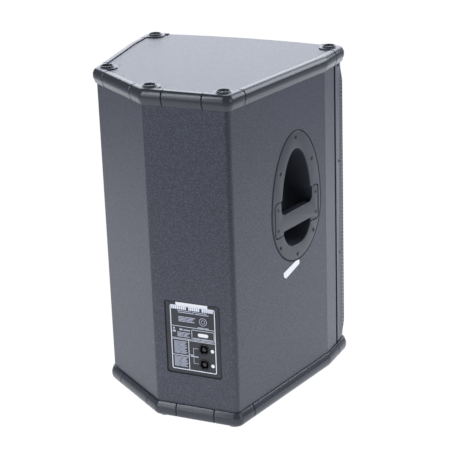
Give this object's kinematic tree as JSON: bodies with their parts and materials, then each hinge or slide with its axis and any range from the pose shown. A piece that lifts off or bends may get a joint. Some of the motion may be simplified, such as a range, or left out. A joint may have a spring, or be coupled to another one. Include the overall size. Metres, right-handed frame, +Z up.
{
  "type": "pa speaker cabinet",
  "caption": "Trapezoid PA loudspeaker cabinet with an angled rear facet, moulded edge guards, recessed side handles, terminal plate and bowed perforated grille.",
  "frame": {"origin": "on the floor under the middle of the cabinet", "axes": "+Z up, -Y towards the grille, +X to the right seen from the front"},
  "size_m": [0.4622, 0.456, 0.7045],
  "materials": {
    "textured_paint": "structured matt paint over plywood",
    "baffle_paint": "matt black paint over plywood",
    "moulded_plastic": "semi-gloss moulded plastic",
    "handle_plastic": "fine-grained moulded plastic",
    "black_plastic": "moulded plastic",
    "rubber": "matt rubber",
    "plate_paint": "powder-coated sheet with printed panel",
    "circuit_board": "green laminate",
    "copper": "enamelled copper wire",
    "painted_steel": "satin black",
    "ferrite": "dark sintered ferrite and steel",
    "paper": "pressed paper pulp",
    "treated_cloth": "resin-treated cloth",
    "aluminium": "satin",
    "diaphragm_foil": "bright formed foil",
    "grille_steel": "powder-coated perforated steel",
    "foam": "open-cell foam",
    "raw_plywood": "bare birch plywood",
    "wadding": "felted polyester wadding"
  },
  "bodies": {
    "cabinet": {"bottom_corner_front_left": "moulded_plastic", "bottom_corner_front_right": "moulded_plastic", "bottom_corner_rear_left": "moulded_plastic", "bottom_corner_rear_middle": "moulded_plastic", "bottom_corner_rear_right": "moulded_plastic", "bottom_panel": "textured_paint", "bottom_rail_angle": "moulded_plastic", "bottom_rail_left": "moulded_plastic", "bottom_rail_rear": "moulded_plastic", "bottom_rail_right": "moulded_plastic", "cabinet_brace": "raw_plywood", "crossover_board": "circuit_board", "crossover_capacitor": "black_plastic", "crossover_coil": "copper", "damping_lining": "wadding", "driver_body": "aluminium", "driver_cap": "ferrite", "foot_front_left": "rubber", "foot_front_right": "rubber", "foot_rear_left": "rubber", "foot_rear_middle": "rubber", "foot_rear_right": "rubber", "front_baffle": "baffle_paint", "grille": "grille_steel", "grille_foam": "foam", "horn": "black_plastic", "left_cheek_panel": "textured_paint", "left_handle_cup": "handle_plastic", "left_handle_grip": "handle_plastic", "left_port_tube": "black_plastic", "left_side_panel": "textured_paint", "lower_speaker_socket": "black_plastic", "pole_socket": "black_plastic", "rear_angle_panel": "textured_paint", "rear_panel": "textured_paint", "right_cheek_panel": "textured_paint", "right_handle_cup": "handle_plastic", "right_handle_grip": "handle_plastic", "right_port_tube": "black_plastic", "right_side_panel": "textured_paint", "terminal_plate": "plate_paint", "top_corner_front_left": "moulded_plastic", "top_corner_front_right": "moulded_plastic", "top_corner_rear_left": "moulded_plastic", "top_corner_rear_middle": "moulded_plastic", "top_corner_rear_right": "moulded_plastic", "top_panel": "textured_paint", "top_rail_angle": "moulded_plastic", "top_rail_left": "moulded_plastic", "top_rail_rear": "moulded_plastic", "top_rail_right": "moulded_plastic", "upper_speaker_socket": "black_plastic", "woofer_basket": "painted_steel", "woofer_magnet": "ferrite", "woofer_spider": "treated_cloth", "woofer_surround": "rubber"},
    "cone_assembly": {"woofer_cone": "paper", "woofer_dust_cap": "paper", "woofer_voice_coil": "copper"},
    "diaphragm": {"driver_diaphragm": "diaphragm_foil"}
  },
  "joints": [
    {"name": "cone_travel", "type": "slide", "parent": "cabinet", "child": "cone_assembly", "axis": [0, -1, 0], "range_m": [-0.006, 0.006], "stiffness_N_per_m": 3000, "deforming": ["woofer_surround", "woofer_spider"]},
    {"name": "diaphragm_travel", "type": "slide", "parent": "cabinet", "child": "diaphragm", "axis": [0, -1, 0], "range_m": [-0.0004, 0.0004], "stiffness_N_per_m": 1000}
  ]
}
